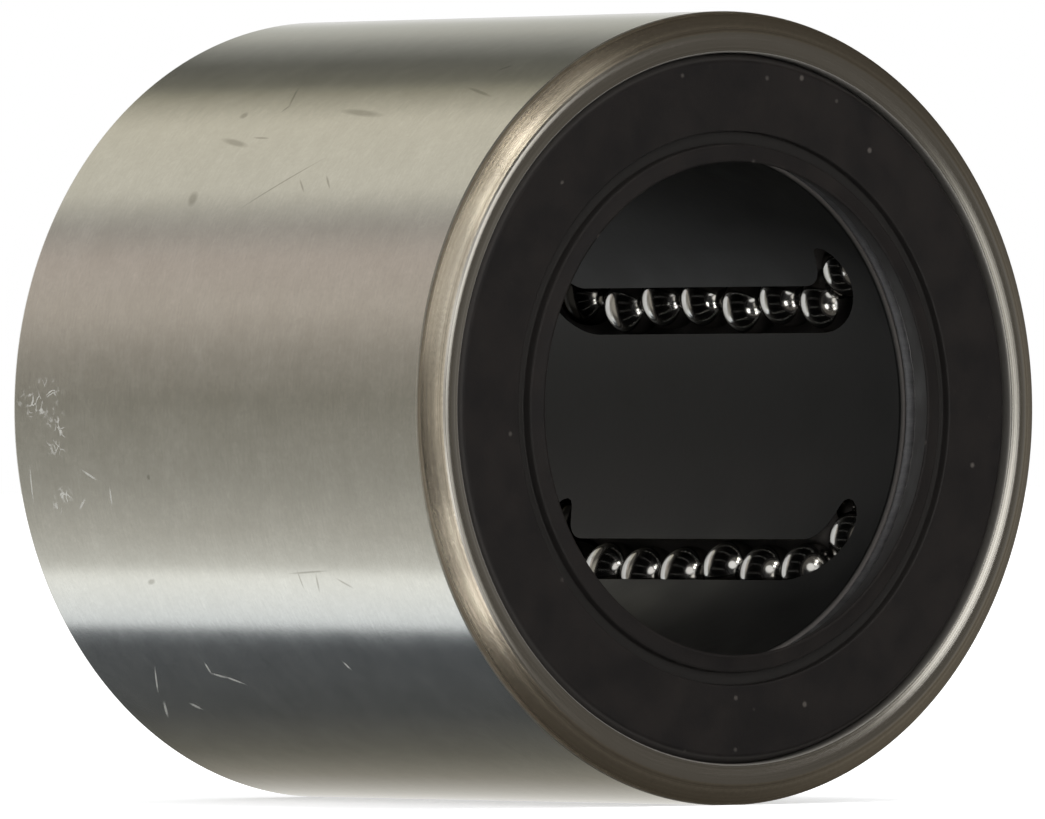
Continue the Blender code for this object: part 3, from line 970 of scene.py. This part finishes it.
# direction in the bearing's own frame, half width in degrees, edge in degrees, colour
TENT_LAMPS = (
    ((-0.50, 0.00, 0.87), 34.0, 8.0, (0.016, 0.016, 0.016)),
    ((-0.61, -0.04, 0.79), 12.0, 8.0, (0.035, 0.035, 0.034)),
    ((-0.36, 0.00, 0.933), 5.0, 8.0, (1.30, 1.24, 1.12)),
    ((0.14, 0.765, 0.63), 4.0, 5.0, (0.90, 0.87, 0.80)),
    ((-0.29, 0.30, 0.91), 4.5, 4.0, (0.90, 0.88, 0.84)),
    ((0.95, 0.00, 0.31), 13.0, 6.0, (0.20, 0.19, 0.175)),
    ((-0.88, -0.44, 0.187), 6.0, 2.0, (1.3, 1.3, 1.27)),
    ((0.95, -0.25, -0.15), 8.0, 30.0, (0.205, 0.19, 0.165)),
    ((-0.57, 0.40, 0.7155), 13.0, 3.0, (1.15, 1.13, 1.08)),
    ((-0.24, 0.56, 0.79), 3.0, 1.5, (6.0, 5.9, 5.5)),
    ((-0.09, 0.70, 0.71), 3.2, 1.5, (8.0, 7.7, 7.1)),
    ((-0.735, -0.37, 0.566), 4.5, 1.5, (5.0, 4.9, 4.6)),
    ((-0.676, -0.48, 0.56), 3.0, 1.5, (5.0, 4.9, 4.6)),
    ((-0.375, -0.34, 0.86), 2.8, 1.5, (5.0, 4.9, 4.6)),
    ((-0.27, -0.515, 0.81), 3.2, 1.5, (7.5, 7.3, 6.9)),
    ((-0.18, 0.42, 0.89), 5.0, 3.0, (0.8, 0.79, 0.76)),
    ((-0.23, 0.20, 0.95), 5.0, 3.0, (1.2, 1.18, 1.14)),
    ((-0.24, 0.00, 0.97), 5.0, 3.0, (0.5, 0.49, 0.47)),
    ((-0.23, -0.20, 0.95), 5.0, 3.0, (1.5, 1.48, 1.43)),
    ((-0.18, -0.42, 0.89), 5.0, 3.0, (0.9, 0.89, 0.86)),
    ((0.31, 0.16, 0.94), 9.0, 2.5, (1.45, 1.43, 1.38)),
    ((0.275, -0.10, 0.956), 7.0, 2.5, (0.85, 0.84, 0.79)),
)
for heading, half_width, edge, colour in TENT_LAMPS:
    aim = (to_model @ Vector(heading)).normalized()
    facing = add_node(tree, "VectorMath", {0: unit, 1: aim}, operation="DOT_PRODUCT").outputs[1]
    rim = math.cos(math.radians(half_width + edge))
    core = math.cos(math.radians(half_width))
    glow = tint(tree, span(tree, facing, rim, core, smooth=True), glow, colour)
emission = add_node(tree, "Emission", {"Color": glow, "Strength": 1.0})
add_node(tree, "OutputMaterial", {"Surface": emission.outputs[0]})

tent_shape = bmesh.new()
bmesh.ops.create_uvsphere(tent_shape, u_segments=64, v_segments=32, radius=TENT_RADIUS)
tent = stage_piece("reflection_tent", tent_shape, tent_light)
tent.visible_camera = False
tent.visible_diffuse = False
tent.visible_shadow = False
tent.visible_transmission = False
tent.visible_volume_scatter = False

# %% [markdown]
# ## Lamps
#
# The tent only feeds reflections. A wide, soft lamp from above and one from the camera's side give
# the rubber, the plastic and the floor their plain light.


# %% Two soft lamps
def soft_lamp(name, heading, distance, size, power):
    light = bpy.data.lights.new(name, "AREA")
    light.shape = "DISK"
    light.size = size
    light.energy = power
    lamp = bpy.data.objects.new(name, light)
    bpy.context.scene.collection.objects.link(lamp)
    aim = (to_model @ Vector(heading)).normalized()
    facing_in = aim.to_track_quat("Z", "Y").to_matrix().to_4x4()
    lamp.matrix_world = Matrix.Translation(aim * distance) @ facing_in
    lamp.visible_glossy = False


soft_lamp("overhead_lamp", (0.1, 1.0, 0.25), 1.5, 0.9, 9.0)
soft_lamp("camera_side_lamp", (-0.45, 0.35, 0.85), 1.4, 0.5, 4.0)

# %% [markdown]
# ## The camera
#
# The photograph was taken from well in front with a long lens: circles at the two ends are almost the
# same size. The view is level with the bearing's axis and 38.6 degrees to its left. The camera's
# place follows from where the centre of the front face stands in the picture.

# %% Place the camera
PICTURE_WIDTH = 1045
VIEW_DEG = 38.56
ROLL_DEG = 0.206
CAMERA_DISTANCE = 1.0
FOCAL_PIXELS = 19875.0
# How far right of and above the picture's middle the centre of the front face stands, in millimetres
CENTRE_RIGHT, CENTRE_ABOVE = 10.87, 0.023
turn = math.radians(VIEW_DEG)
right = Vector((math.cos(turn), -math.sin(turn), 0.0))
back = Vector((-math.sin(turn), -math.cos(turn), 0.0))
up = Vector((0.0, 0.0, 1.0))
front_centre = Vector((0.0, -HALF_LENGTH * MM, 0.0))
eye = front_centre + CAMERA_DISTANCE * back
eye -= (CENTRE_RIGHT * right + CENTRE_ABOVE * up) * MM
roll = math.radians(ROLL_DEG)
across = math.cos(roll) * right - math.sin(roll) * up
upright = math.sin(roll) * right + math.cos(roll) * up
lens = bpy.data.cameras.new("long_lens")
lens.sensor_width = 36.0
lens.lens = FOCAL_PIXELS / PICTURE_WIDTH * lens.sensor_width
lens.clip_start = 0.01
lens.clip_end = 20.0
camera = bpy.data.objects.new("long_lens", lens)
bpy.context.scene.collection.objects.link(camera)
turned_to_view = Matrix((across, upright, back)).transposed().to_4x4()
camera.matrix_world = Matrix.Translation(eye) @ turned_to_view
bpy.context.scene.camera = camera
bpy.context.scene.view_settings.view_transform = "Standard"
print("camera at", [round(value, 3) for value in eye], "lens", round(lens.lens, 1), "mm")
